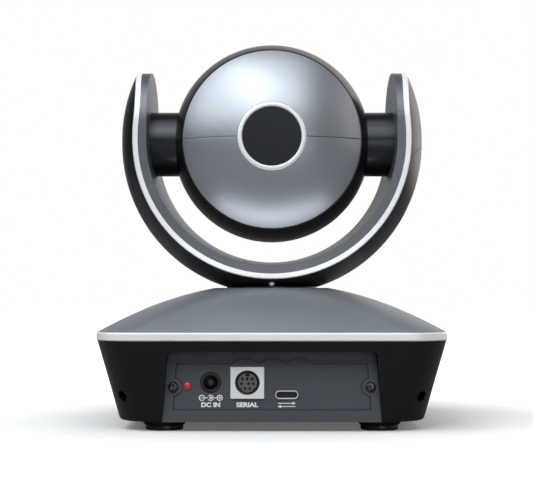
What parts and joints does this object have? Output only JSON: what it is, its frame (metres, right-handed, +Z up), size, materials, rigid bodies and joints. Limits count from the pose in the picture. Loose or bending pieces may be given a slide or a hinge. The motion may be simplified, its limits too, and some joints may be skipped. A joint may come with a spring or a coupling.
{
  "type": "pan-tilt-zoom camera",
  "caption": "Table-top conference camera: ball head tilting in a U-shaped yoke that pans on a tapered square base with a rear connector panel.",
  "frame": {"origin": "on the surface the camera stands on, on the pan axis", "axes": "+Z up along the pan axis, the lens looks along -Y at rest, the connector panel faces +Y, +X is the tilt axis"},
  "size_m": [0.1386, 0.1246, 0.1594],
  "materials": {
    "black_shell": "satin moulded ABS, fine texture",
    "dark_steel": "black zinc-plated pressed steel",
    "brass_insert": "turned brass",
    "foot_rubber": "smooth silicone rubber",
    "silver_trim": "satin silver with bright bevels",
    "gunmetal_cover": "satin gunmetal paint, fine grain",
    "panel_grey": "fine spark texture, dark grey",
    "black_screw": "black oxide",
    "port_plastic": "black nylon",
    "nickel": "nickel-plated shell",
    "red_lens": "red diffused lamp",
    "circuit_board": "green solder mask",
    "chip_black": "epoxy package",
    "steel": "bright steel",
    "aluminium_post": "machined aluminium",
    "motor_steel": "drawn steel can",
    "dark_window": "dark red infra-red window",
    "yoke_grey": "satin grey paint",
    "yoke_black": "semi-gloss black",
    "white_nylon": "acetal",
    "collar_black": "satin black",
    "ball_black": "semi-gloss black",
    "silver_cap": "blue-grey satin silver",
    "bright_ring": "bright polished silver",
    "disc_charcoal": "charcoal satin",
    "gloss_black": "piano black",
    "barrel_black": "flat black lens barrel",
    "lens_glass": "coated optical glass"
  },
  "bodies": {
    "base": {"base_shell": "black_shell", "base_plate": "dark_steel", "tripod_insert": "brass_insert", "foot_holders": "black_shell", "foot_pads": "foot_rubber", "base_trim_band": "silver_trim", "base_top_cover": "gunmetal_cover", "rear_panel": "panel_grey", "rear_panel_screws": "black_screw", "dc_jack": "port_plastic", "dc_jack_pin": "nickel", "serial_socket_shell": "nickel", "serial_socket_insert": "port_plastic", "usb_c_shell": "nickel", "usb_c_tongue": "port_plastic", "status_led": "red_lens", "main_board": "circuit_board", "board_chips": "chip_black", "board_screws": "steel", "chassis_posts": "aluminium_post", "chassis_screws": "steel", "pan_chassis": "dark_steel", "pan_bearing_outer": "steel", "pan_bearing_balls": "steel", "pan_motor": "motor_steel", "pan_home_sensor": "chip_black", "ir_window": "dark_window"},
    "pan_drive": {"pan_pinion": "brass_insert"},
    "yoke": {"yoke_frame": "yoke_grey", "yoke_outer_cover": "yoke_black", "yoke_cap_left": "yoke_black", "yoke_cap_right": "yoke_black", "yoke_trim": "silver_trim", "yoke_screws": "steel", "pan_hub": "aluminium_post", "pan_bearing_inner": "steel", "pan_circlip": "steel", "hub_spacer": "steel", "pan_gear": "white_nylon", "trunnion_collars": "collar_black", "tilt_shafts": "steel", "tilt_gear": "white_nylon"},
    "head": {"head_shell_upper": "ball_black", "head_shell_lower": "ball_black", "rear_cap_upper": "silver_cap", "rear_cap_lower": "silver_cap", "rear_disc_ring": "bright_ring", "rear_disc": "disc_charcoal", "front_bezel": "gloss_black", "lens_barrel": "barrel_black", "front_lens": "lens_glass", "camera_block": "barrel_black", "guide_rods": "steel", "sensor_board": "circuit_board", "head_frame": "dark_steel", "tilt_bushes": "white_nylon", "tilt_motor": "motor_steel"},
    "tilt_drive": {"tilt_pinion": "brass_insert"},
    "zoom_group": {"zoom_carrier": "barrel_black"},
    "focus_group": {"focus_carrier": "barrel_black"}
  },
  "joints": [
    {"name": "pan", "type": "hinge", "parent": "base", "child": "yoke", "pos_m": [0, 0, 0.045], "axis": [0, 0, 1], "range_deg": [-170, 170]},
    {"name": "pan_pinion_spin", "type": "hinge", "parent": "base", "child": "pan_drive", "pos_m": [0, -0.028, 0.045], "axis": [0, 0, 1], "range_deg": [-681, 681]},
    {"name": "tilt", "type": "hinge", "parent": "yoke", "child": "head", "pos_m": [0, 0, 0.1175], "axis": [-1, 0, 0], "range_deg": [-30, 90]},
    {"name": "tilt_pinion_spin", "type": "hinge", "parent": "head", "child": "tilt_drive", "pos_m": [0, 0.018, 0.1175], "axis": [-1, 0, 0], "range_deg": [-106, 316]},
    {"name": "zoom_slide", "type": "slide", "parent": "head", "child": "zoom_group", "axis": [0, 1, 0], "range_m": [0, 0.009]},
    {"name": "focus_slide", "type": "slide", "parent": "head", "child": "focus_group", "axis": [0, 1, 0], "range_m": [0, 0.005]}
  ],
  "couplings": [
    {"joint": "pan_pinion_spin", "follows": "pan", "ratio": -4},
    {"joint": "tilt_pinion_spin", "follows": "tilt", "ratio": 3.5}
  ]
}
